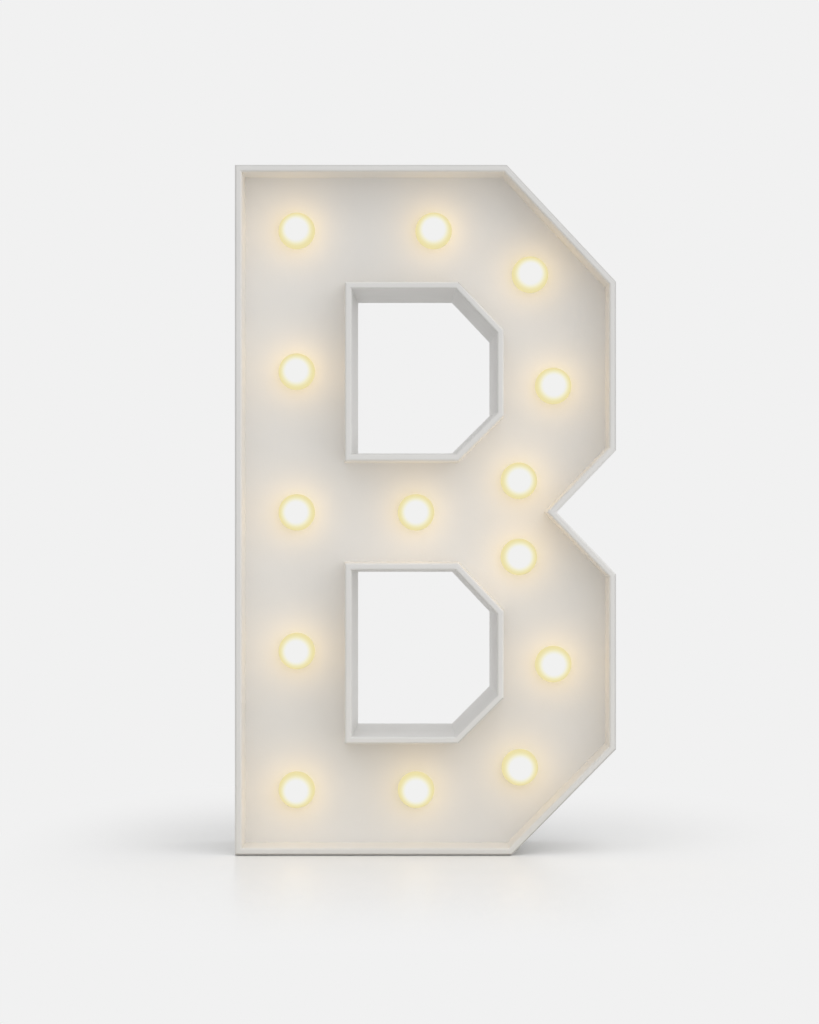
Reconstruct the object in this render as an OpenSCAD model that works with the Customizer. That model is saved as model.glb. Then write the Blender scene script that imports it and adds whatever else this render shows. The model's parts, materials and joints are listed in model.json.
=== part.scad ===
// Light-up letter B: a moulded letter tray with lit bulb domes, run from two AAA cells.
// The letter stands on its lower edge, with its front towards -Y and its height along +Z.
// Each piece is drawn lying on its back (x right, y up the letter, z towards the viewer)
// and stood upright by one quarter turn.

/* [Letter outline] */
// Overall height of the letter
letter_h = 220; // [205:1:250]
// Overall width of the letter
letter_w = 121.5; // [116:0.5:140]
// Overall depth from front rim to rear edge
letter_d = 45; // [44:0.5:60]
// Width of the upright stem
stem_w = 37.2; // [36:0.1:42]
// Width of the right-hand limb
right_limb_w = 38; // [36:0.1:42]
// Height of the top bar
top_bar_h = 39.5; // [36:0.1:44]
// Height of the middle bar
mid_bar_h = 37; // [34:0.1:42]
// Height of the bottom bar
bottom_bar_h = 37.7; // [34:0.1:42]
// Height of the lower counter
lower_counter_h = 53.1; // [46:0.1:58]
// Width of the cuts across the right-hand corners of each counter, and height of the lower one
counter_chamfer = 13.2; // [8:0.1:18]
// Height of the cut across the upper right corner of each counter
counter_top_cut_h = 14; // [8:0.1:18]
// Width of the cut across the top right corner
top_chamfer_w = 34.8; // [28:0.1:38]
// Height of the cut across the top right corner
top_chamfer_h = 37.2; // [30:0.1:40]
// Width of the cut across the bottom right corner
bottom_chamfer_w = 33.2; // [28:0.1:36]
// Height of the cut across the bottom right corner
bottom_chamfer_h = 33.7; // [28:0.1:36]
// Depth of the waist notch in the right-hand side
waist_depth = 18.9; // [14:0.1:20]
// Rise of the waist notch above and below its point
waist_rise = 19.7; // [16:0.1:24]

/* [Letter tray] */
// Wall thickness at the front rim
wall_t = 2.2; // [1.8:0.1:2.8]
// Depth of the recess from the rim to the face
recess_d = 14; // [12:0.5:16]
// Thickness of the recessed face
face_t = 2; // [1.6:0.1:2.6]
// Moulding draft of the counters and the recess, in degrees
draft_angle = 1.6; // [0.5:0.1:2]
// Size of the eased edge along the rims
rim_ease = 0.45; // [0.2:0.05:0.7]
// How far the counter walls stand outside the counter edge at the rear cavity
counter_wall = 1.3; // [1:0.1:1.8]

/* [Bulb domes] */
// Outside diameter of a dome
dome_d = 11.6; // [10:0.1:12.4]
// Height of a dome above the face
dome_h = 6.8; // [6.2:0.1:8.5]
// Wall thickness of a dome
dome_wall = 1; // [0.8:0.1:1.4]
// Radial clearance of a dome in its hole
dome_fit = 0.1; // [0.05:0.01:0.2]
// Diameter of the flange behind the face
flange_d = 14.4; // [13.6:0.1:15.4]
// Thickness of the flange
flange_t = 1.2; // [0.8:0.1:1.6]
// Shift of the stem bulbs to the right of the stem's middle
stem_bulb_shift = 0.6; // [-1:0.1:1]
// Rise of the bottom row of bulbs above the middle of the bottom bar
bottom_bulb_rise = 0.8; // [-1:0.1:2]
// Place of the top bar bulb, from the middle of the letter
top_bar_bulb_x = 2.7; // [-4:0.1:8]
// Place of the middle and bottom bar bulbs, from the middle of the letter
bar_bulb_x = -3; // [-6:0.1:2]
// Shift of the right-hand limb bulbs to the left of the limb's middle
limb_bulb_shift = 0.4; // [-1:0.1:1]
// Drop of the right-hand limb bulbs below the middle of each counter
limb_bulb_drop = 4; // [0:0.1:8]
// Top corner bulb, distance from the right-hand side
top_corner_x = 26.9; // [24:0.1:29]
// Top corner bulb, distance from the top
top_corner_h = 33.9; // [31:0.1:36]
// Bottom corner bulb, distance from the right-hand side
bottom_corner_x = 30.2; // [27:0.1:32]
// Bottom corner bulb, height above the base
bottom_corner_h = 26.9; // [25:0.1:29]
// Waist bulbs, distance to the left of the waist point
waist_bulb_x = 11.6; // [11:0.1:14]
// Upper waist bulb, height above the waist point
waist_bulb_up = 10.2; // [9.6:0.1:12]
// Lower waist bulb, depth below the waist point
waist_bulb_down = 14.4; // [12:0.1:16]

/* [LEDs and wiring] */
// Diameter of a round LED board
board_d = 13; // [12:0.1:14]
// Thickness of an LED board
board_t = 1; // [0.8:0.1:1.6]
// Length of an LED chip
led_l = 3.5; // [2.8:0.1:5]
// Width of an LED chip
led_w = 2.8; // [2:0.1:4]
// Height of an LED chip
led_h = 1.4; // [0.8:0.1:2]
// Wire diameter over its insulation
wire_d = 0.9; // [0.7:0.05:1.2]
// Solder pad offset from the board's centre, both ways
pad_offset = 1.8; // [1.5:0.1:2.2]
// Diameter of a solder joint
solder_d = 1.8; // [1.5:0.1:2.2]
// Clearance between the red wires and the black wires behind them
wire_gap = 0.4; // [0.3:0.05:0.6]
// Height of the solder under a wire
solder_h = 0.3; // [0.2:0.05:0.6]

/* [Rear cover] */
// Thickness of the cover
cover_t = 2.4; // [2.2:0.1:3]
// Depth of the cover inside the rear edge
cover_inset = 1.6; // [1.5:0.1:2.4]
// Clearance around the cover
cover_gap = 0.25; // [0.15:0.05:0.4]
// Diameter of a screw boss
boss_d = 6.5; // [5.6:0.1:7.5]
// Distance of the corner bosses from the nearest outer walls
boss_margin = 7; // [6.4:0.1:8]
// Cover screw shank diameter
screw_d = 2.4; // [2:0.1:3]
// Cover screw length under the head
screw_l = 10; // [8:0.5:14]
// Cover screw head diameter
screw_head_d = 4.8; // [4.2:0.1:5.4]
// Cover screw head height
screw_head_h = 1.4; // [1:0.1:1.5]
// Radial clearance around screw shanks
screw_fit = 0.06; // [0.03:0.01:0.1]
// Distance between the two hanging keyholes
keyhole_span = 50; // [40:1:56]
// Middle of the keyhole pair, from the middle of the letter
keyhole_x = -8; // [-14:0.5:-4]
// Entry diameter of a keyhole
keyhole_d = 8; // [7:0.1:9]
// Slot width of a keyhole
keyhole_slot = 4; // [3.5:0.1:5]
// Rise of the keyhole slot above its entry
keyhole_rise = 7; // [6:0.1:8]

/* [Battery] */
// Diameter of a cell
cell_d = 10.5; // [10:0.1:10.6]
// Length of a cell with its button
cell_l = 44.5; // [43.5:0.1:45]
// Diameter of the positive button
button_d = 3.8; // [3.4:0.1:4.2]
// Height of the positive button
button_h = 0.8; // [0.6:0.1:1]
// Clearance around a cell
cell_gap = 0.4; // [0.3:0.05:0.6]
// Room for a spring contact
spring_room = 4; // [3.6:0.1:5]
// Room for a plain contact
plate_room = 0.8; // [0.7:0.05:1.2]
// Thickness of the contact plates
plate_t = 0.4; // [0.3:0.05:0.5]
// Width of a contact plate
plate_w = 8; // [7:0.1:9]
// Wire diameter of the contact springs
spring_wire = 0.6; // [0.5:0.05:0.7]
// Diameter of a contact's dimple
dimple_d = 3; // [2.6:0.1:3.4]
// Width of a solder tab
tab_w = 2.5; // [2:0.1:3]
// Length of a solder tab outside the tray
tab_out = 4; // [3:0.1:5]
// Wall of the battery tray
tray_wall = 1.4; // [1.2:0.1:1.8]
// Height of the tray's inside above the base
tray_rise = 36; // [32:0.5:40]

/* [Battery door] */
// Thickness of the door
door_t = 1.8; // [1.6:0.1:2]
// Ledge that carries the door's edge
door_ledge = 0.9; // [0.7:0.1:1.2]
// Clearance around the door
door_gap = 0.3; // [0.25:0.05:0.4]
// Diameter of the hinge pegs
peg_d = 1; // [0.8:0.05:1.1]
// Length of a hinge peg beyond the door
peg_l = 1.4; // [1:0.1:1.8]
// Radial clearance of a hinge peg
peg_fit = 0.06; // [0.03:0.01:0.1]
// Radius of the finger scoop
scoop_r = 5; // [4:0.1:7]
// Depth of the finger scoop
scoop_d = 0.8; // [0.5:0.1:1]

/* [Switch] */
// Height of the switch above the door seat
switch_rise = 16; // [15:0.5:20]
// Width of the switch
switch_w = 6.4; // [6:0.1:7.5]
// Length of the switch housing
switch_l = 11; // [9.5:0.1:12]
// Height of the switch housing behind its plate
switch_h = 5.2; // [4.5:0.1:6]
// Thickness of the switch plate
ear_t = 0.6; // [0.5:0.05:1]
// Length of the switch plate over its ears
ear_l = 19.8; // [19:0.1:22]
// Distance between the switch screws
ear_span = 15; // [14.6:0.1:16]
// Width and length of the knob's stem
knob_w = 3; // [2.6:0.1:3.2]
// Width of the knob's foot inside the housing
knob_foot_w = 4.4; // [4:0.1:4.6]
// Thickness of the knob's foot
knob_foot_t = 1.4; // [1:0.1:1.8]
// Height of the knob above the cover
knob_out = 1.2; // [0.8:0.1:1.4]
// Width of a grip groove across the knob
knob_groove_w = 0.4; // [0.3:0.05:0.5]
// Depth of a grip groove
knob_groove_d = 0.3; // [0.2:0.05:0.5]
// Travel of the knob between off and on
knob_travel = 2; // [1.5:0.1:2.4]
// Side clearance of the knob
knob_fit = 0.08; // [0.04:0.01:0.1]
// End clearance of the knob
knob_end_gap = 0.3; // [0.2:0.05:0.4]
// Length of a switch terminal
pin_l = 3; // [2:0.1:4]
// Distance between switch terminals
pin_span = 3; // [2.6:0.1:3.4]
// Switch screw shank diameter
switch_screw_d = 1.9; // [1.7:0.05:2.1]
// Switch screw head diameter
switch_head_d = 3.8; // [3.4:0.1:4.2]
// Switch screw head height
switch_head_h = 1.2; // [0.9:0.1:1.4]

/* [Hidden] */
$fn = 48;
// How far a cutting shape reaches past the face that it cuts
over = 1;
// Slope of the eased rim edges
ease_angle = 45;
// Extra ease of the waist's lower edge; its upper edge takes twice as much, to keep their corners apart
waist_ease_step = 0.02;

front_z = letter_d / 2;
rear_z = -letter_d / 2;
ease_z = front_z - rim_ease;
face_front_z = front_z - recess_d;
face_back_z = face_front_z - face_t;
flange_back_z = face_back_z - flange_t;
board_back_z = flange_back_z - board_t;
red_z = board_back_z - solder_h - wire_d / 2;
black_z = red_z - wire_d - wire_gap;
// Size of the drum at a wire's bend, as a share of the wire's diameter
bend_swell = 1.1;
// Where a wire ends inside its solder joint, from the joint's middle
solder_reach = solder_d * 0.3;
// How far a solder joint reaches behind the middle of its wire
solder_tail = wire_d / 2 + solder_h;
// Levels of the two feed wires behind the boards, and their straight length at a tab
red_lift = 3 * wire_d;
black_lift = 6 * wire_d;
tab_lead = 2 * wire_d;
cover_out_z = rear_z + cover_inset;
cover_in_z = cover_out_z + cover_t;

left_x = -letter_w / 2;
right_x = letter_w / 2;
waist_x = right_x - waist_depth;
counter_left_x = left_x + stem_w;
counter_right_x = right_x - right_limb_w;
lower_counter_top = bottom_bar_h + lower_counter_h;
upper_counter_low = lower_counter_top + mid_bar_h;
upper_counter_top = letter_h - top_bar_h;
stem_mid_x = left_x + stem_w / 2;
limb_mid_x = right_x - right_limb_w / 2;
top_mid_y = letter_h - top_bar_h / 2;
mid_y = lower_counter_top + mid_bar_h / 2;
bottom_mid_y = bottom_bar_h / 2;
bottom_bulb_y = bottom_mid_y + bottom_bulb_rise;
// Stem bulbs stand level with the bars and half-way between them
stem_rows = [
    bottom_bulb_y,
    (bottom_bulb_y + mid_y) / 2,
    mid_y,
    (mid_y + top_mid_y) / 2,
    top_mid_y
];
limb_bulb_x = limb_mid_x - limb_bulb_shift;

// Outline and counters, counter-clockwise seen from the front
outline = [
    [left_x, 0],
    [right_x - bottom_chamfer_w, 0],
    [right_x, bottom_chamfer_h],
    [right_x, mid_y - waist_rise],
    [waist_x, mid_y],
    [right_x, mid_y + waist_rise],
    [right_x, letter_h - top_chamfer_h],
    [right_x - top_chamfer_w, letter_h],
    [left_x, letter_h]
];
// The outline without its waist
outer_hull = [for (i = [0, 1, 2, 6, 7, 8]) outline[i]];
reach = letter_h + letter_w;
function counter_outline(low, high) = [
    [counter_left_x, low],
    [counter_right_x - counter_chamfer, low],
    [counter_right_x, low + counter_chamfer],
    [counter_right_x, high - counter_top_cut_h],
    [counter_right_x - counter_chamfer, high],
    [counter_left_x, high]
];
counters = [
    counter_outline(bottom_bar_h, lower_counter_top),
    counter_outline(upper_counter_low, upper_counter_top)
];

// Bulbs 1 to 5 climb the stem, and the rest go round from the top bar to the bottom bar
bulb_spots = [
    for (row = stem_rows) [stem_mid_x + stem_bulb_shift, row],
    [top_bar_bulb_x, top_mid_y],
    [right_x - top_corner_x, letter_h - top_corner_h],
    [limb_bulb_x, (upper_counter_low + upper_counter_top) / 2 - limb_bulb_drop],
    [waist_x - waist_bulb_x, mid_y + waist_bulb_up],
    [bar_bulb_x, mid_y],
    [waist_x - waist_bulb_x, mid_y - waist_bulb_down],
    [limb_bulb_x, (bottom_bar_h + lower_counter_top) / 2 - limb_bulb_drop],
    [right_x - bottom_corner_x, bottom_corner_h],
    [bar_bulb_x, bottom_bulb_y]
];
// Pairs of bulbs that one length of wire joins, counted from 0
wire_links = [
    [0, 1], [1, 2], [2, 3], [3, 4], [4, 5], [5, 6], [6, 7],
    [7, 8], [2, 9], [8, 10], [10, 11], [11, 12], [12, 13]
];
feed_bulb = 2;

// Screw bosses stand near the ends of the limbs, with one in the middle bar
boss_spots = [
    [left_x + boss_margin, boss_margin],
    [right_x - bottom_chamfer_w - boss_margin, boss_margin],
    [right_x - boss_margin, bottom_chamfer_h + boss_margin],
    [right_x - boss_margin, mid_y - waist_rise - boss_margin],
    [right_x - boss_margin, mid_y + waist_rise + boss_margin],
    [right_x - boss_margin, letter_h - top_chamfer_h - boss_margin],
    [right_x - top_chamfer_w - boss_margin, letter_h - boss_margin],
    [left_x + boss_margin, letter_h - boss_margin],
    [(bar_bulb_x + waist_x - waist_bulb_x) / 2, mid_y]
];
// Room in a boss beyond the screw's tip
pilot_room = 1;
pilot_depth = screw_l - cover_t + pilot_room;
// Cross recess of a screw, as shares of its head
cross_l = 0.6;
cross_w = 0.15;
cross_h = 0.5;

tray_in_w = 2 * cell_d + 3 * cell_gap;
tray_in_l = cell_l + spring_room + plate_room;
tray_top = tray_rise + tray_in_l;
door_in_z = cover_out_z + door_t;
cell_z = door_in_z + cell_gap + cell_d / 2;
tray_floor_z = cell_z + cell_d / 2 + cell_gap;
cell_pitch = cell_d + cell_gap;
cell_x = [stem_mid_x - cell_pitch / 2, stem_mid_x + cell_pitch / 2];
plate_low_z = cell_z - plate_w / 2;
plate_high_z = cell_z + plate_w / 2;
tab_end = tray_top + tray_wall + tab_out;
spring_turns = 3;
spring_end_gap = 0.1;
spring_margin = 0.2;
spring_h = spring_room - plate_t - spring_wire / 2 - spring_end_gap;
spring_base_r = plate_w / 2 - spring_wire / 2 - spring_margin;
spring_tip_r = button_d / 2;

seat_w = tray_in_w + 2 * door_ledge;
seat_low = tray_rise - door_ledge;
seat_top = tray_top + door_ledge;
door_w = seat_w - 2 * door_gap;
hinge_y = seat_low + door_gap + door_t / 2;
hinge_z = cover_out_z + door_t / 2;
grip_rib_w = 0.8;
grip_rib_h = 0.5;
grip_rib_pitch = 2.2;
grip_rib_count = 3;

switch_y = seat_top + switch_rise;
knob_slot_l = knob_w + knob_travel + 2 * knob_end_gap;
housing_low_z = cover_in_z + ear_t;
housing_top_z = housing_low_z + switch_h;
pin_end_z = housing_top_z + pin_l;
pin_w = 0.8;
pin_t = 0.5;
// How far a switch screw reaches through the switch plate
switch_screw_tip = 1;
pip_h = 0.4;
pip_d = 1.6;

function pad(bulb, side) = bulb_spots[bulb] + side * [pad_offset, pad_offset];
function numbered(name, i) = str(name, "_", i < 9 ? "0" : "", i + 1);
bulb_count = len(bulb_spots);

// Points moved to the left of their edges by gap, which is inwards, with mitred corners
function edge_normal(a, b) = [a[1] - b[1], b[0] - a[0]] / norm(b - a);
function mitre(p, n1, n2, gap) = p + (n1 + n2) * gap / (1 + n1 * n2);
function inset(points, gap) = [
    for (i = [0:len(points) - 1])
        let (n = len(points))
        let (before = points[(i + n - 1) % n])
        let (after = points[(i + 1) % n])
        mitre(points[i], edge_normal(before, points[i]), edge_normal(points[i], after), gap)
];

module upright() {
    rotate([90, 0, 0]) children();
}

module prism(points, low, high) {
    translate([0, 0, low]) linear_extrude(high - low) polygon(points);
}

module box(middle, size, low, high) {
    translate([middle[0] - size[0] / 2, middle[1] - size[1] / 2, low])
        cube([size[0], size[1], high - low]);
}

module post(middle, diameter, low, high) {
    translate([middle[0], middle[1], low]) cylinder(h = high - low, d = diameter);
}

// Everything to the left of a line, moved left by gap at the eased edge, where a positive lean
// moves it further left towards the rear
module lean_plane(from, to, gap, lean) {
    v = to - from;
    translate([from[0], from[1], ease_z])
        rotate([0, 0, atan2(v[1], v[0])])
        translate([0, gap, 0])
        rotate([lean, 0, 0])
        translate([-reach, 0, -reach])
        cube(2 * reach);
}

// Space inside a convex outline with leaning sides, between two levels
module lean_cell(points, gap, lean, low, high) {
    intersection() {
        translate([-reach, -reach, low]) cube([2 * reach, 2 * reach, high - low]);
        intersection_for (i = [0:len(points) - 1])
            lean_plane(points[i], points[(i + 1) % len(points)], gap, lean);
    }
}

// Wedge of the waist notch, which lies outside both of its edges, grown by a gap below and above
module waist_wedge(gap_below, gap_above, lean, low, high) {
    intersection() {
        translate([-reach, -reach, low]) cube([2 * reach, 2 * reach, high - low]);
        lean_plane([waist_x, mid_y], [right_x, mid_y - waist_rise], -gap_below, -lean);
        lean_plane([right_x, mid_y + waist_rise], [waist_x, mid_y], -gap_above, -lean);
    }
}

// Space between the outer walls and the counter walls, from a level up past the front
module recess(lean, low) {
    difference() {
        lean_cell(outer_hull, wall_t, lean, low, front_z + over);
        waist_wedge(wall_t, wall_t, lean, low - over, front_z + 2 * over);
        for (points = counters) lean_cell(points, -wall_t, -lean, low - over, front_z + 2 * over);
    }
}

// Hollow behind the face, which leaves the counter walls and the screw bosses standing
module rear_cavity() {
    difference() {
        prism(inset(outline, wall_t), rear_z - over, face_back_z);
        for (points = counters)
            prism(inset(points, -counter_wall), rear_z - 2 * over, face_back_z + over);
        for (spot = boss_spots) post(spot, boss_d, cover_in_z, face_back_z + over);
    }
}

module front_shell() {
    color("white") upright() {
        difference() {
            intersection() {
                prism(outline, rear_z, front_z);
                lean_cell(outer_hull, 0, -ease_angle, rear_z - over, front_z + over);
            }
            waist_wedge(waist_ease_step, 2 * waist_ease_step, -ease_angle, ease_z - over, front_z + over);
            for (points = counters) {
                lean_cell(points, 0, draft_angle, rear_z - over, front_z + over);
                lean_cell(points, 0, ease_angle, ease_z - over, front_z + over);
            }
            recess(draft_angle, face_front_z);
            recess(ease_angle, ease_z - over);
            rear_cavity();
            for (spot = bulb_spots)
                post(spot, dome_d + 2 * dome_fit, face_back_z - over, face_front_z + over);
            for (spot = boss_spots)
                post(spot, screw_d + 2 * screw_fit, cover_in_z - over, cover_in_z + pilot_depth);
        }
    }
}

module bulb_dome(spot) {
    dome_mid_z = face_front_z + dome_h - dome_d / 2;
    inner_d = dome_d - 2 * dome_wall;
    color("moccasin") upright() difference() {
        union() {
            post(spot, flange_d, flange_back_z, face_back_z);
            post(spot, dome_d, flange_back_z, dome_mid_z);
            intersection() {
                translate([spot[0], spot[1], dome_mid_z]) sphere(d = dome_d);
                post(spot, dome_d + over, dome_mid_z, dome_mid_z + dome_d);
            }
        }
        post(spot, inner_d, flange_back_z - over, dome_mid_z);
        translate([spot[0], spot[1], dome_mid_z]) sphere(d = inner_d);
    }
}

module led(spot) {
    color("gold") upright() box(spot, [led_l, led_w], flange_back_z, flange_back_z + led_h);
}

module led_board(spot) {
    color("whitesmoke") upright() post(spot, board_d, board_back_z, flange_back_z);
}

// Straight wire between two points, stopping short of both
module wire_segment(a, b, short = 0) {
    v = b - a;
    length = norm(v);
    translate(a + v * short / length)
        rotate([0, acos(v[2] / length), atan2(v[1], v[0])])
        cylinder(h = length - 2 * short, d = wire_d);
}

// Short drum across the bend between two lengths of wire
module wire_bend(before, at, after) {
    across = cross(at - before, after - at);
    translate(at)
        rotate([0, acos(across[2] / norm(across)), atan2(across[1], across[0])])
        cylinder(h = wire_d * bend_swell, d = wire_d * bend_swell, center = true);
}

module wire_run(points) {
    for (i = [0:len(points) - 2]) wire_segment(points[i], points[i + 1]);
    for (i = [1:len(points) - 2]) wire_bend(points[i - 1], points[i], points[i + 1]);
}

// Wires from board to board at one level, soldered to one pad of each, where side is 1 or -1
module harness(side, level) {
    for (link = wire_links)
        wire_segment(
            concat(pad(link[0], side), level),
            concat(pad(link[1], side), level),
            solder_reach
        );
    for (i = [0:bulb_count - 1]) post(pad(i, side), solder_d, level - solder_tail, board_back_z);
}

module red_wires() {
    tab_z = plate_high_z - plate_t / 2;
    feed = pad(feed_bulb, 1);
    lift_z = red_z - red_lift;
    first_pin_y = switch_y - pin_span;
    color("crimson") upright() {
        harness(1, red_z);
        wire_run([
            [cell_x[0], tab_end, tab_z],
            [cell_x[0], tab_end + tab_lead, tab_z],
            [stem_mid_x, first_pin_y, pin_end_z + pin_l],
            [stem_mid_x, first_pin_y, pin_end_z]
        ]);
        wire_run([
            [stem_mid_x, switch_y, pin_end_z],
            [stem_mid_x, switch_y, lift_z],
            [feed[0], feed[1], lift_z],
            [feed[0], feed[1], red_z - solder_tail + solder_h / 2]
        ]);
    }
}

module black_wires() {
    tab_z = plate_high_z - plate_t / 2;
    feed = pad(feed_bulb, -1);
    lift_z = red_z - black_lift;
    color("dimgray") upright() {
        harness(-1, black_z);
        wire_run([
            [cell_x[1], tab_end, tab_z],
            [cell_x[1], tab_end + tab_lead, tab_z],
            [cell_x[1], switch_y, lift_z],
            [feed[0], feed[1], lift_z],
            [feed[0], feed[1], black_z - solder_tail + solder_h / 2]
        ]);
    }
}

module keyhole(spot) {
    post(spot, keyhole_d, cover_out_z - over, cover_in_z + over);
    post(spot + [0, keyhole_rise], keyhole_slot, cover_out_z - over, cover_in_z + over);
    box(spot + [0, keyhole_rise / 2], [keyhole_slot, keyhole_rise], cover_out_z - over, cover_in_z + over);
}

module hinge_rod(diameter, length) {
    translate([stem_mid_x - length / 2, hinge_y, hinge_z])
        rotate([0, 90, 0]) cylinder(h = length, d = diameter);
}

// Raised pip beside the switch slot, at its on end
module on_pip() {
    spot = [stem_mid_x + switch_w / 2 + pip_d, switch_y + knob_travel / 2];
    post(spot, pip_d, cover_out_z - pip_h, cover_out_z);
}

module back_cover() {
    tray_mid_y = (tray_rise + tray_top) / 2;
    tray_size = [tray_in_w, tray_in_l];
    wall_size = [2 * tray_wall, 2 * tray_wall];
    seat_size = [seat_w, seat_top - seat_low];
    color("snow") upright() {
        difference() {
            union() {
                difference() {
                    prism(inset(outline, wall_t + cover_gap), cover_out_z, cover_in_z);
                    for (points = counters)
                        prism(
                            inset(points, -counter_wall - cover_gap),
                            cover_out_z - over,
                            cover_in_z + over
                        );
                }
                box([stem_mid_x, tray_mid_y], tray_size + wall_size, cover_out_z, tray_floor_z + tray_wall);
            }
            box([stem_mid_x, tray_mid_y], tray_size, cover_out_z - over, tray_floor_z);
            box([stem_mid_x, tray_mid_y], seat_size, cover_out_z - over, door_in_z + door_gap);
            hinge_rod(peg_d + 2 * peg_fit, seat_w + 2 * (peg_l + door_gap));
            for (x = cell_x)
                box(
                    [x, tray_top + tray_wall / 2],
                    [tab_w + 2 * door_gap, tray_wall + over],
                    plate_high_z - plate_t - door_gap,
                    plate_high_z + door_gap
                );
            box(
                [stem_mid_x, switch_y],
                [knob_w + 2 * knob_fit, knob_slot_l],
                cover_out_z - over,
                cover_in_z + over
            );
            for (side = [-1, 1])
                post(
                    [stem_mid_x, switch_y + side * ear_span / 2],
                    switch_screw_d + 2 * screw_fit,
                    cover_out_z - over,
                    cover_in_z + over
                );
            for (spot = boss_spots)
                post(spot, screw_d + 2 * screw_fit, cover_out_z - over, cover_in_z + over);
            for (side = [-1, 1])
                keyhole([keyhole_x + side * keyhole_span / 2, top_mid_y - keyhole_rise / 2]);
        }
        on_pip();
    }
}

// Pan head with a cross recess, its shank towards the front
module screw(spot, shank_d, length, head_d, head_h) {
    difference() {
        union() {
            post(spot, head_d, cover_out_z - head_h, cover_out_z);
            post(spot, shank_d, cover_out_z - head_h / 2, cover_out_z + length);
        }
        for (turn = [0, 90])
            translate([spot[0], spot[1], cover_out_z - head_h - over])
                rotate(turn)
                box([0, 0], [head_d * cross_l, head_d * cross_w], 0, over + head_h * cross_h);
    }
}

module cover_screws() {
    color("silver") upright()
        for (spot = boss_spots) screw(spot, screw_d, screw_l, screw_head_d, screw_head_h);
}

module battery_door() {
    door_low = hinge_y;
    door_top = seat_top - door_gap;
    door_mid = [stem_mid_x, (door_low + door_top) / 2];
    rib_top = door_top - scoop_r - 2 * grip_rib_w;
    color("snow") upright() difference() {
        union() {
            box(door_mid, [door_w, door_top - door_low], cover_out_z, door_in_z);
            hinge_rod(door_t, door_w);
            hinge_rod(peg_d, door_w + 2 * peg_l);
            for (i = [0:grip_rib_count - 1])
                box(
                    [stem_mid_x, rib_top - i * grip_rib_pitch],
                    [2 * scoop_r, grip_rib_w],
                    cover_out_z - grip_rib_h,
                    door_in_z
                );
        }
        post([stem_mid_x, door_top], 2 * scoop_r, cover_out_z - over, cover_out_z + scoop_d);
    }
}

// Cell with its button up or down the letter
module cell(x, can_low, button_low) {
    color("seagreen") upright() {
        translate([x, can_low, cell_z])
            rotate([-90, 0, 0]) cylinder(h = cell_l - button_h, d = cell_d);
        translate([x, button_low, cell_z])
            rotate([-90, 0, 0]) cylinder(h = button_h + plate_t, d = button_d);
    }
}

module aaa_cell_1() {
    low = tray_rise + spring_room;
    cell(cell_x[0], low, low + cell_l - button_h - plate_t);
}

module aaa_cell_2() {
    low = tray_rise + plate_room;
    cell(cell_x[1], low + button_h, low);
}

// Conical coil along +z, its first turn lying on z = 0
module coil_spring() {
    rings_per_turn = 10;
    sides = 6;
    count = spring_turns * rings_per_turn;
    function ring_point(i, k) =
        let (angle = 360 * i / rings_per_turn)
        let (part = i / count)
        let (turn = -360 * k / sides)
        let (r = spring_base_r + (spring_tip_r - spring_base_r) * part + spring_wire / 2 * cos(turn))
        [r * cos(angle), r * sin(angle), spring_h * part + spring_wire / 2 * sin(turn)];
    polyhedron(
        points = [for (i = [0:count]) for (k = [0:sides - 1]) ring_point(i, k)],
        faces = concat(
            [[for (k = [0:sides - 1]) k]],
            [[for (k = [sides - 1:-1:0]) count * sides + k]],
            [
                for (i = [0:count - 1]) for (k = [0:sides - 1])
                    let (next = (k + 1) % sides)
                    [i * sides + k, (i + 1) * sides + k, (i + 1) * sides + next, i * sides + next]
            ]
        )
    );
}

module contact_plate(middle_x, width, low) {
    translate([middle_x - width / 2, low, plate_low_z]) cube([width, plate_t, plate_w]);
}

module solder_tab(x) {
    translate([x - tab_w / 2, tray_top - plate_t, plate_high_z - plate_t])
        cube([tab_w, tab_end - tray_top + plate_t, plate_t]);
}

module positive_contact() {
    color("lightgray") upright() {
        contact_plate(cell_x[0], plate_w, tray_top - plate_t);
        solder_tab(cell_x[0]);
        translate([cell_x[0], tray_top - plate_room, cell_z])
            rotate([-90, 0, 0]) cylinder(h = plate_room - plate_t / 2, d = dimple_d);
    }
}

module negative_contact() {
    color("lightgray") upright() {
        contact_plate(cell_x[1], plate_w, tray_top - plate_t);
        solder_tab(cell_x[1]);
        translate([cell_x[1], tray_top - plate_t, cell_z]) rotate([90, 0, 0]) coil_spring();
    }
}

module bridge_contact() {
    color("lightgray") upright() {
        contact_plate(stem_mid_x, plate_w + cell_pitch, tray_rise);
        translate([cell_x[0], tray_rise + plate_t, cell_z]) rotate([-90, 0, 0]) coil_spring();
        translate([cell_x[1], tray_rise + plate_t / 2, cell_z])
            rotate([-90, 0, 0]) cylinder(h = plate_room - plate_t / 2, d = dimple_d);
    }
}

module switch_body() {
    middle = [stem_mid_x, switch_y];
    slot_w = knob_w + 2 * knob_fit;
    foot_w = knob_foot_w + 2 * knob_fit;
    color("darkslategray") upright() difference() {
        union() {
            box(middle, [switch_w, ear_l], cover_in_z, housing_low_z);
            box(middle, [switch_w, switch_l], cover_in_z, housing_top_z);
        }
        box(middle, [slot_w, knob_slot_l], cover_in_z - over, housing_low_z + over);
        box(middle, [foot_w, knob_slot_l], housing_low_z, housing_low_z + knob_foot_t + 2 * knob_fit);
        for (side = [-1, 1])
            post(
                middle + [0, side * ear_span / 2],
                switch_screw_d + 2 * screw_fit,
                cover_in_z - over,
                housing_low_z + over
            );
    }
}

module switch_terminals() {
    color("lightgray") upright()
        for (i = [-1:1])
            box([stem_mid_x, switch_y + i * pin_span], [pin_w, pin_t], housing_top_z, pin_end_z);
}

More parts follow.
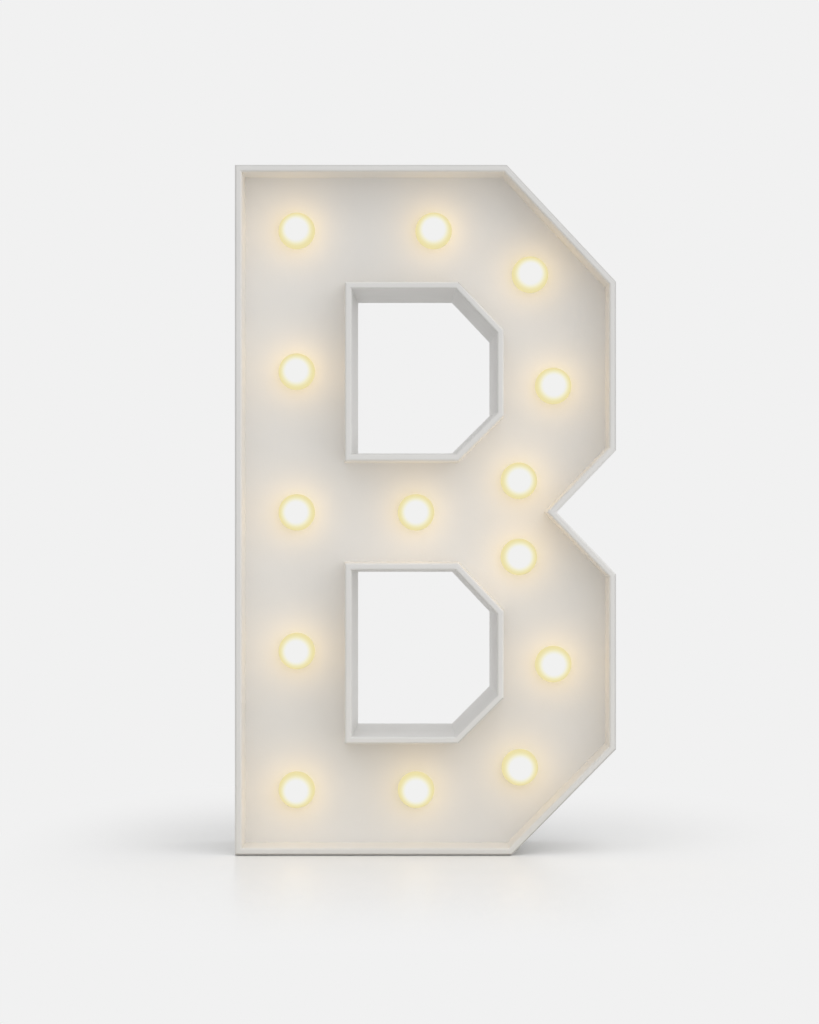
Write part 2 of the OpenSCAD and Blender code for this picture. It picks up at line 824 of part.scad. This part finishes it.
// Knob at its on end, which is the upper one
module switch_slider() {
    middle = [stem_mid_x, switch_y + knob_travel / 2];
    foot_z = housing_low_z + knob_fit;
    tip_z = cover_out_z - knob_out;
    color("black") upright() difference() {
        union() {
            box(middle, [knob_foot_w, knob_w], foot_z, foot_z + knob_foot_t);
            box(middle, [knob_w, knob_w], tip_z, foot_z + knob_foot_t);
        }
        for (i = [-1:1])
            box(
                middle + [0, i * 2 * knob_groove_w],
                [knob_w + over, knob_groove_w],
                tip_z - over,
                tip_z + knob_groove_d
            );
    }
}

module switch_screws() {
    length = cover_t + ear_t + switch_screw_tip;
    color("silver") upright()
        for (side = [-1, 1])
            screw(
                [stem_mid_x, switch_y + side * ear_span / 2],
                switch_screw_d,
                length,
                switch_head_d,
                switch_head_h
            );
}

front_shell();
back_cover();
cover_screws();
battery_door();
aaa_cell_1();
aaa_cell_2();
positive_contact();
negative_contact();
bridge_contact();
switch_body();
switch_terminals();
switch_slider();
switch_screws();
red_wires();
black_wires();
for (i = [0:bulb_count - 1]) {
    bulb_dome(bulb_spots[i]);
    led(bulb_spots[i]);
    led_board(bulb_spots[i]);
}
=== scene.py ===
import json
import math

import bpy
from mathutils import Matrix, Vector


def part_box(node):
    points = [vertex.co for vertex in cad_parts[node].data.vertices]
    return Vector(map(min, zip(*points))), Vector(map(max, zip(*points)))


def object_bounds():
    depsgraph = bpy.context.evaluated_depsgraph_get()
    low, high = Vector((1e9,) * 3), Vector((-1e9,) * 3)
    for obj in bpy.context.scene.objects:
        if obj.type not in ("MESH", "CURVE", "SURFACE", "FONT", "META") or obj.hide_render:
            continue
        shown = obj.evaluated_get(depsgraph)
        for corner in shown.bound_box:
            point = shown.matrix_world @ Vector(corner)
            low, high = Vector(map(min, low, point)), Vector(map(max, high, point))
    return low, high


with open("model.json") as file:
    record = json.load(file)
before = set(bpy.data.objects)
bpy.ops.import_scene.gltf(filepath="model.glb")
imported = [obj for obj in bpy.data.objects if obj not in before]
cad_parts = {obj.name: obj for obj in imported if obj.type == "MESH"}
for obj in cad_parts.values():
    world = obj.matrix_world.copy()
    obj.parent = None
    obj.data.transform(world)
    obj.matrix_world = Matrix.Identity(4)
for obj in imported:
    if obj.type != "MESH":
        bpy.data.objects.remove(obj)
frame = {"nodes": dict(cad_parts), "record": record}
cad_low, cad_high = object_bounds()
nodes = frame["nodes"]
scene = bpy.context.scene

# Camera, square to the letter's front
VIEW_DISTANCE = 0.955
CAMERA_X = -0.0035
CAMERA_Z = 0.1060
FOCAL_PX = 2997
LONG_SIDE_PX = 1024
SENSOR_MM = 36
SHIFT_PX = (-5.0, 10.5)
CLIP_START = 0.01
LOOK_BACK = (math.pi / 2, 0, 0)  # turn of a camera or lamp that looks along +Y

# Light of the studio, as levels that a white surface would show
BACKDROP = (0.8796, 0.8796, 0.8796)
AMBIENT = 0.92
AMBIENT_FRONT = 0.22
AMBIENT_UP = 0.54
AMBIENT_RIGHT = 0.46
AMBIENT_LEAST = 0.05
SIDE_DROP = 0.80  # less light from straight aside and straight above
SIDE_SHARPNESS = 12
SIDE_FILL = 0.4
SIDE_FILL_ANGLE = math.radians(50)
SIDE_FILL_TURN = (math.radians(84), 0, math.radians(-110))

# Light that each bulb throws on the face around it, and that all of them throw further
POOL_COLOUR = (1.0, 0.57, 0.03)
POOL_WATTS = 0.0018
POOL_AHEAD = 0.0072
POOL_ANGLE = math.radians(136)
POOL_BLEND = 1.0
GLOW_COLOUR = (1.0, 0.68, 0.40)
GLOW_WATTS = 0.0018
GLOW_AHEAD = -0.0040
BULB_RADIUS = 0.0025

# Floor, with a soft overhead lamp of its own, and darker where it lights the letter
FLOOR_WHITE = (0.565, 0.565, 0.565)
FLOOR_BOUNCE = (0.37, 0.345, 0.29)
FLOOR_DROP = 0.0002
FLOOR_GLOSS = 0.28
FLOOR_GLOSS_COLOUR = (1.0, 1.0, 1.0)
FLOOR_ROUGHNESS = 0.24
FLOOR_SOLID = 0.012  # no fade nearer to the letter than this
FLOOR_FADE = 0.085  # all faded further off than this
FLOOR_SQUEEZE = 0.40  # share of a distance that counts in front and behind
FLOOR_LAMP = 2.2
FLOOR_LAMP_ANGLE = math.radians(80)
FLOOR_LAMP_TILT = (math.radians(27), math.radians(12), 0)

# Moulded plastics: colours are linear, grain is in cells per metre, and depths and edges are in metres
PLASTICS = {
    "tray_plastic": {
        "colour": (0.81, 0.801, 0.783), "roughness": 0.46, "grain": 1800, "depth": 0.00003, "edge": 0.0005,
        "edge_depth": 0.0015,
    },
    "cover_plastic": {
        "colour": (0.79, 0.786, 0.775), "roughness": 0.55, "grain": 1100, "depth": 0.00008, "edge": 0.0003,
    },
    "switch_plastic": {
        "colour": (0.03, 0.03, 0.033), "roughness": 0.45, "grain": 1500, "depth": 0.00004, "edge": 0.0002,
    },
    "knob_plastic": {
        "colour": (0.02, 0.02, 0.022), "roughness": 0.42, "grain": 1500, "depth": 0.00003, "edge": 0.0001,
    },
    "red_insulation": {"colour": (0.55, 0.03, 0.03), "roughness": 0.4, "grain": 1500, "depth": 0.00002},
    "black_insulation": {"colour": (0.02, 0.02, 0.022), "roughness": 0.4, "grain": 1500, "depth": 0.00002},
}
PLASTIC_SPECULAR = 0.35
GRAIN_STRENGTH = 0.6
CLOUD_SCALE = 28
CLOUD_BAND = (0.35, 0.7)
CLOUD_SHADE = 0.965
GLOSS_SCALE = 160
GLOSS_VARIATION = 0.05
# Painted shade: a darker base colour on the outer eased edges of the letter, picked out by facing outwards
PAINTED_EDGE_SHADE = 0.78
EDGE_OUTWARD = 0.76
EDGE_OUTWARD_SPAN = 0.14
BEVEL_SAMPLES = 6

# Plated metals: colours are linear, and the drawn lines run along the axis with the low stretch
METALS = {
    "screw_steel": {"colour": (0.30, 0.30, 0.295), "roughness": 0.28, "stretch": (1, 0.2, 1)},
    "contact_steel": {"colour": (0.72, 0.71, 0.68), "roughness": 0.2, "stretch": (0.2, 1, 1)},
}
LINE_SCALE = 900
LINE_SHADE = 0.8
LINE_DEPTH = 0.00002
LINE_STRENGTH = 0.5
LINE_ROUGHNESS = 0.12

# Middle range of a noise, where most of its values lie
NOISE_BAND = (0.3, 0.7)

# Lit dome, with its changes of colour as shares of its width, out from the middle
DOME_WHITE = (0.88, 0.88, 0.872)
DOME_CREAM = (0.89, 0.85, 0.60)
DOME_YELLOW = (0.84, 0.75, 0.40)
DOME_UNLIT = (0.0, 0.0, 0.0)
DOME_ROUGHNESS = 0.35
DOME_MIDDLE = (0.5, 0.5, 0.5)
WITHOUT_DEPTH = (1, 0, 1)
CREAM_BAND = (0.22, 0.325)
YELLOW_BAND = (0.28, 0.38)

# Lit LED
LED_COLOUR = (0.9, 0.7, 0.2)
LED_GLOW = (1.0, 0.86, 0.5)
LED_SPECK = (1.0, 0.95, 0.75)
LED_SPECK_SCALE = 4000
LED_ROUGHNESS = 0.3

# Cell, with the ends of its sleeve and the foot of its pale band as shares of its length
CELL_CAN = (0.66, 0.66, 0.64)
SLEEVE_GREEN = (0.05, 0.22, 0.12)
SLEEVE_PALE = (0.60, 0.60, 0.58)
SLEEVE_SCUFF = (0.35, 0.40, 0.36)
SLEEVE_LOW = 0.035
SLEEVE_HIGH = 0.965
SLEEVE_PALE_FROM = 0.72
SLEEVE_ROUGHNESS = (0.2, 0.36)
SCUFF_SCALE = 300
SCUFF_BAND = (0.55, 0.8)
SCUFF_MOST = 0.4

# Board laminate
BOARD_LIGHT = (0.80, 0.82, 0.79)
BOARD_DARK = (0.74, 0.77, 0.73)
BOARD_ROUGHNESS = 0.35
WEAVE_SCALE = 2500
WEAVE_DEPTH = 0.00003
WEAVE_STRENGTH = 0.4


class Tree:
    """A node tree, and short ways to add nodes to it."""

    def __init__(self, tree):
        self.tree = tree
        self.coords = self.add("ShaderNodeTexCoord").outputs

    def add(self, kind, **values):
        """Adds a node with its properties set."""
        node = self.tree.nodes.new(kind)
        for key, value in values.items():
            setattr(node, key, value)
        return node

    def feed(self, target, source):
        """Links another node's output to a socket, or sets the socket to a value."""
        if isinstance(source, bpy.types.NodeSocket):
            self.tree.links.new(source, target)
        elif target.type == "RGBA":
            target.default_value = (*source, 1)
        else:
            target.default_value = source

    def fill(self, node, values):
        """Feeds a node's first sockets in order."""
        for socket, source in zip(node.inputs, values):
            self.feed(socket, source)

    def maths(self, operation, *values):
        node = self.add("ShaderNodeMath", operation=operation)
        self.fill(node, values)
        return node.outputs["Value"]

    def vector(self, operation, *values):
        node = self.add("ShaderNodeVectorMath", operation=operation)
        self.fill(node, values)
        return node.outputs["Value" if operation in ("LENGTH", "DOT_PRODUCT") else "Vector"]

    def axes(self, vector):
        """The X, Y and Z of a vector."""
        node = self.add("ShaderNodeSeparateXYZ")
        self.fill(node, [vector])
        return node.outputs

    def spread(self, value, band, levels, kind="LINEAR"):
        """Carries a value in one range over to another, and holds it at the ends."""
        node = self.add("ShaderNodeMapRange", interpolation_type=kind)
        self.fill(node, (value, *band, *levels))
        return node.outputs["Result"]

    def noise(self, scale, detail, stretch=(1, 1, 1)):
        mapping = self.add("ShaderNodeMapping")
        self.feed(mapping.inputs["Vector"], self.coords["Object"])
        self.feed(mapping.inputs["Scale"], stretch)
        node = self.add("ShaderNodeTexNoise")
        self.feed(node.inputs["Vector"], mapping.outputs["Vector"])
        self.feed(node.inputs["Scale"], scale)
        self.feed(node.inputs["Detail"], detail)
        return node.outputs["Fac"]

    def blend(self, factor, first, second):
        """Mixes two colours."""
        node = self.add("ShaderNodeMix", data_type="RGBA")
        self.feed(node.inputs["Factor"], factor)
        colours = [socket for socket in node.inputs if socket.type == "RGBA"]
        for socket, colour in zip(colours, (first, second)):
            self.feed(socket, colour)
        return next(socket for socket in node.outputs if socket.type == "RGBA")

    def shade(self, kind, **values):
        """Adds a shader with its sockets fed."""
        node = self.add(kind)
        for key, value in values.items():
            self.feed(node.inputs[key], value)
        return node.outputs[0]

    def mix(self, factor, first, second):
        """Mixes two shaders."""
        node = self.add("ShaderNodeMixShader")
        self.fill(node, (factor, first, second))
        return node.outputs["Shader"]

    def show(self, kind, shader):
        """Adds the output that shows a shader."""
        self.feed(self.add(kind).inputs["Surface"], shader)

    def seen(self):
        """One for a ray that shows a background, also mirrored or through glass, and none for others."""
        ray = self.add("ShaderNodeLightPath").outputs
        mirrored = self.maths("MAXIMUM", ray["Is Glossy Ray"], ray["Is Transmission Ray"])
        return self.maths("MAXIMUM", ray["Is Camera Ray"], mirrored)


class Shader(Tree):
    """A material with one Principled shader."""

    def __init__(self, name):
        self.material = bpy.data.materials.new(name)
        self.material.use_nodes = True
        super().__init__(self.material.node_tree)
        self.main = self.tree.nodes["Principled BSDF"]

    def set(self, **values):
        """Feeds the Principled shader's sockets, named with _ for a space."""
        for key, value in values.items():
            self.feed(self.main.inputs[key.replace("_", " ")], value)

    def bump(self, height, depth, strength, edge=None):
        """Raises the surface by a height, over edges that are eased to a radius."""
        node = self.add("ShaderNodeBump")
        self.feed(node.inputs["Height"], height)
        self.feed(node.inputs["Distance"], depth)
        self.feed(node.inputs["Strength"], strength)
        if edge is not None:
            bevel = self.add("ShaderNodeBevel", samples=BEVEL_SAMPLES)
            self.feed(bevel.inputs["Radius"], edge)
            self.feed(node.inputs["Normal"], bevel.outputs["Normal"])
        self.set(Normal=node.outputs["Normal"])


def shaded(colour, share):
    """A colour times a share."""
    return tuple(level * share for level in colour)


def outer_edge_shade_mask(shader):
    """Mask for painted shade: one on the eased edges round the outside of the letter, except along the stem,
    and none elsewhere.

    The place on the letter, from 0 to 1 across it and from -1 to 1 up it, times the surface's normal says
    how far the surface faces outwards.
    """
    size = cad_high - cad_low
    stretch = (1 / size.x, 0, 2 / size.z)
    offset = (-cad_low.x / size.x, 0, -2 * cad_low.z / size.z - 1)
    place = shader.vector("MULTIPLY_ADD", shader.coords["Object"], stretch, offset)
    normal = shader.add("ShaderNodeNewGeometry").outputs["True Normal"]
    outward = shader.vector("DOT_PRODUCT", place, normal)
    return shader.maths("COMPARE", outward, EDGE_OUTWARD, EDGE_OUTWARD_SPAN)


def moulded(name, colour, roughness, grain, depth, edge=None, edge_depth=None):
    """Moulded plastic with a fine grain, faint cloudiness and eased edges.

    With an edge_depth, the edges are eased that far behind the letter's front, and given a painted shade
    round the letter's outside.
    """
    shader = Shader(name)
    cloud = shader.spread(shader.noise(CLOUD_SCALE, detail=4), CLOUD_BAND, (0, 1))
    tone = shader.blend(cloud, colour, shaded(colour, CLOUD_SHADE))
    if edge_depth:
        # painted shade: the outer eased edges get a darker base colour
        tone = shader.blend(outer_edge_shade_mask(shader), tone, shaded(colour, PAINTED_EDGE_SHADE))
        behind = (cad_low.y + edge_depth, cad_low.y + 2 * edge_depth)
        edge = shader.spread(shader.axes(shader.coords["Object"])["Y"], behind, (edge, 0))
    gloss = (roughness - GLOSS_VARIATION, roughness + GLOSS_VARIATION)
    shader.set(
        Base_Color=tone,
        Roughness=shader.spread(shader.noise(GLOSS_SCALE, detail=2), NOISE_BAND, gloss),
        Specular_IOR_Level=PLASTIC_SPECULAR,
    )
    shader.bump(shader.noise(grain, detail=2), depth, GRAIN_STRENGTH, edge)
    return shader.material


def metal(name, colour, roughness, stretch):
    """Plated metal with drawn lines."""
    shader = Shader(name)
    lines = shader.noise(LINE_SCALE, detail=3, stretch=stretch)
    shader.set(
        Base_Color=shader.blend(lines, colour, shaded(colour, LINE_SHADE)),
        Metallic=1.0,
        Roughness=shader.spread(lines, NOISE_BAND, (roughness, roughness + LINE_ROUGHNESS)),
    )
    shader.bump(lines, LINE_DEPTH, LINE_STRENGTH)
    return shader.material


def dome_glow(name):
    """Lit dome: white where the LED shines straight through it, and yellow towards its foot."""
    shader = Shader(name)
    from_middle = shader.vector("SUBTRACT", shader.coords["Generated"], DOME_MIDDLE)
    radius = shader.vector("LENGTH", shader.vector("MULTIPLY", from_middle, WITHOUT_DEPTH))
    cream = shader.spread(radius, CREAM_BAND, (0, 1), "SMOOTHSTEP")
    yellow = shader.spread(radius, YELLOW_BAND, (0, 1), "SMOOTHSTEP")
    shader.set(
        Base_Color=DOME_UNLIT,
        Roughness=DOME_ROUGHNESS,
        Specular_IOR_Level=0.0,
        Emission_Color=shader.blend(yellow, shader.blend(cream, DOME_WHITE, DOME_CREAM), DOME_YELLOW),
        Emission_Strength=1.0,
    )
    return shader.material


def led_glow(name):
    """Lit LED with specks of phosphor."""
    shader = Shader(name)
    specks = shader.noise(LED_SPECK_SCALE, detail=2)
    shader.set(
        Base_Color=LED_COLOUR,
        Roughness=LED_ROUGHNESS,
        Emission_Color=shader.blend(specks, LED_GLOW, LED_SPECK),
        Emission_Strength=1.0,
    )
    return shader.material


def cell_wrap(name, button_up):
    """Plain two-tone sleeve with bare ends, its pale band at the button end."""
    shader = Shader(name)
    along = shader.axes(shader.coords["Generated"])["Z"]
    if not button_up:
        along = shader.maths("SUBTRACT", 1.0, along)
    above_foot = shader.maths("GREATER_THAN", along, SLEEVE_LOW)
    below_top = shader.maths("LESS_THAN", along, SLEEVE_HIGH)
    sleeve = shader.maths("MULTIPLY", above_foot, below_top)
    pale = shader.maths("GREATER_THAN", along, SLEEVE_PALE_FROM)
    scuff = shader.noise(SCUFF_SCALE, detail=4)
    worn = shader.spread(scuff, SCUFF_BAND, (0, SCUFF_MOST))
    wrap = shader.blend(worn, shader.blend(pale, SLEEVE_GREEN, SLEEVE_PALE), SLEEVE_SCUFF)
    shader.set(
        Base_Color=shader.blend(sleeve, CELL_CAN, wrap),
        Metallic=shader.maths("SUBTRACT", 1.0, sleeve),
        Roughness=shader.spread(scuff, NOISE_BAND, SLEEVE_ROUGHNESS),
    )
    return shader.material


def laminate(name):
    """Pale board with a fine weave."""
    shader = Shader(name)
    weave = shader.noise(WEAVE_SCALE, detail=2)
    shader.set(Base_Color=shader.blend(weave, BOARD_LIGHT, BOARD_DARK), Roughness=BOARD_ROUGHNESS)
    shader.bump(weave, WEAVE_DEPTH, WEAVE_STRENGTH)
    return shader.material


def dress_nodes():
    """Gives every CAD node the material of its slot, with the second cell's sleeve the other way up."""
    materials = {
        "dome_plastic": dome_glow("dome_plastic"),
        "led_phosphor": led_glow("led_phosphor"),
        "board_laminate": laminate("board_laminate"),
        "cell_wrap": cell_wrap("cell_wrap", button_up=True),
    }
    for name, finish in PLASTICS.items():
        materials[name] = moulded(name, **finish)
    for name, finish in METALS.items():
        materials[name] = metal(name, **finish)
    for part in frame["record"]["subparts"]:
        mesh = nodes[part["node"]].data
        mesh.materials.clear()
        mesh.materials.append(materials[part["material_slot"]])
    nodes["aaa_cell_2"].data.materials[0] = cell_wrap("cell_wrap_turned", button_up=False)


def floor_paper(half_x, half_y):
    """Glossy white paper that fades out to the backdrop around the letter's footprint.

    The light that it gives the letter comes from a darker paper, which is open where it has faded.
    """
    material = bpy.data.materials.new("floor_paper")
    material.use_nodes = True
    material.node_tree.nodes.clear()
    material.cycles.emission_sampling = "NONE"
    paper = Tree(material.node_tree)
    past = paper.vector("SUBTRACT", paper.vector("ABSOLUTE", paper.coords["Object"]), (half_x, half_y, 0))
    past = paper.vector("MULTIPLY", paper.vector("MAXIMUM", past, (0, 0, 0)), (1, FLOOR_SQUEEZE, 0))
    fade = paper.spread(paper.vector("LENGTH", past), (FLOOR_SOLID, FLOOR_FADE), (0, 1), "SMOOTHSTEP")
    seen = paper.seen()
    matt = paper.shade("ShaderNodeBsdfDiffuse", Color=paper.blend(seen, FLOOR_BOUNCE, FLOOR_WHITE))
    gloss = paper.shade("ShaderNodeBsdfAnisotropic", Color=FLOOR_GLOSS_COLOUR, Roughness=FLOOR_ROUGHNESS)
    clear = paper.shade("ShaderNodeBsdfTransparent")
    far = paper.shade("ShaderNodeEmission", Color=BACKDROP)
    surface = paper.mix(fade, paper.mix(FLOOR_GLOSS, matt, gloss), paper.mix(seen, clear, far))
    paper.show("ShaderNodeOutputMaterial", surface)
    return material


def add_floor():
    """A sheet under the letter, as far as its paper shows."""
    middle = (cad_low + cad_high) / 2
    half = (cad_high - cad_low) / 2
    reach_x = half.x + FLOOR_FADE
    reach_y = half.y + FLOOR_FADE / FLOOR_SQUEEZE
    corners = [
        (-reach_x, -reach_y, 0),
        (reach_x, -reach_y, 0),
        (reach_x, reach_y, 0),
        (-reach_x, reach_y, 0),
    ]
    mesh = bpy.data.meshes.new("floor")
    mesh.from_pydata(corners, [], [(0, 1, 2, 3)])
    mesh.materials.append(floor_paper(half.x, half.y))
    floor = bpy.data.objects.new("floor", mesh)
    floor.location = (middle.x, middle.y, cad_low.z - FLOOR_DROP)
    scene.collection.objects.link(floor)
    return floor


def receivers(name, pieces):
    """A collection of the only pieces that a lamp lights."""
    group = bpy.data.collections.new(name)
    for piece in pieces:
        group.objects.link(piece)
    return group


def soft_sun(name, strength, angle, turn, pieces):
    """A wide soft lamp, seen only as even light on the given pieces."""
    lamp = bpy.data.lights.new(name, "SUN")
    lamp.energy = strength
    lamp.angle = angle
    holder = bpy.data.objects.new(name, lamp)
    holder.rotation_euler = turn
    holder.visible_glossy = False
    holder.light_linking.receiver_collection = receivers(name + "_only", pieces)
    scene.collection.objects.link(holder)


def add_studio():
    """Light all round, stronger from the front, from above and from the right, and a plain backdrop."""
    world = bpy.data.worlds.new("studio")
    world.use_nodes = True
    world.node_tree.nodes.clear()
    scene.world = world
    studio = Tree(world.node_tree)
    direction = studio.axes(studio.coords["Generated"])
    widest = studio.maths("MAXIMUM", studio.maths("ABSOLUTE", direction["X"]), direction["Z"])
    level = AMBIENT
    for part, weight in (
        (direction["Y"], -AMBIENT_FRONT),
        (direction["Z"], AMBIENT_UP),
        (direction["X"], AMBIENT_RIGHT),
        (studio.maths("POWER", widest, SIDE_SHARPNESS), -SIDE_DROP),
    ):
        level = studio.maths("MULTIPLY_ADD", part, weight, level)
    ambient = studio.shade("ShaderNodeBackground", Strength=studio.maths("MAXIMUM", level, AMBIENT_LEAST))
    backdrop = studio.shade("ShaderNodeBackground", Color=BACKDROP)
    studio.show("ShaderNodeOutputWorld", studio.mix(studio.seen(), ambient, backdrop))


def bulb_lamp(name, kind, colour, watts, place, lit):
    """A small lamp at a bulb."""
    lamp = bpy.data.lights.new(name, kind)
    lamp.energy = watts
    lamp.color = colour
    lamp.shadow_soft_size = BULB_RADIUS
    holder = bpy.data.objects.new(name, lamp)
    holder.location = place
    holder.light_linking.receiver_collection = lit
    scene.collection.objects.link(holder)
    return holder


def light_bulbs(floor):
    """Warm light of each bulb, which falls on everything but the domes themselves."""
    domes = [name for name in nodes if name.startswith("bulb_dome")]
    lit = receivers("lit_by_bulbs", [floor] + [piece for name, piece in nodes.items() if name not in domes])
    for name in domes:
        nodes[name].visible_shadow = False
        low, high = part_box(name)
        middle = (low + high) / 2
        glow_place = (middle.x, low.y - GLOW_AHEAD, middle.z)
        pool_place = (middle.x, low.y - POOL_AHEAD, middle.z)
        bulb_lamp(name + "_glow", "POINT", GLOW_COLOUR, GLOW_WATTS, glow_place, lit)
        pool = bulb_lamp(name + "_pool", "SPOT", POOL_COLOUR, POOL_WATTS, pool_place, lit)
        pool.rotation_euler = LOOK_BACK
        pool.data.spot_size = POOL_ANGLE
        pool.data.spot_blend = POOL_BLEND


def add_camera():
    """The camera, straight in front of the letter."""
    lens = bpy.data.cameras.new("camera")
    lens.sensor_width = SENSOR_MM
    lens.lens = SENSOR_MM * FOCAL_PX / LONG_SIDE_PX
    lens.shift_x = SHIFT_PX[0] / LONG_SIDE_PX
    lens.shift_y = SHIFT_PX[1] / LONG_SIDE_PX
    lens.clip_start = CLIP_START
    camera = bpy.data.objects.new("camera", lens)
    camera.location = (CAMERA_X, cad_low.y - VIEW_DISTANCE, CAMERA_Z)
    camera.rotation_euler = LOOK_BACK
    scene.collection.objects.link(camera)
    scene.camera = camera


dress_nodes()
paper_floor = add_floor()
soft_sun("floor_lamp", FLOOR_LAMP, FLOOR_LAMP_ANGLE, FLOOR_LAMP_TILT, [paper_floor])
soft_sun("side_fill", SIDE_FILL, SIDE_FILL_ANGLE, SIDE_FILL_TURN, nodes.values())
add_studio()
light_bulbs(paper_floor)
add_camera()
scene.view_settings.view_transform = "Standard"
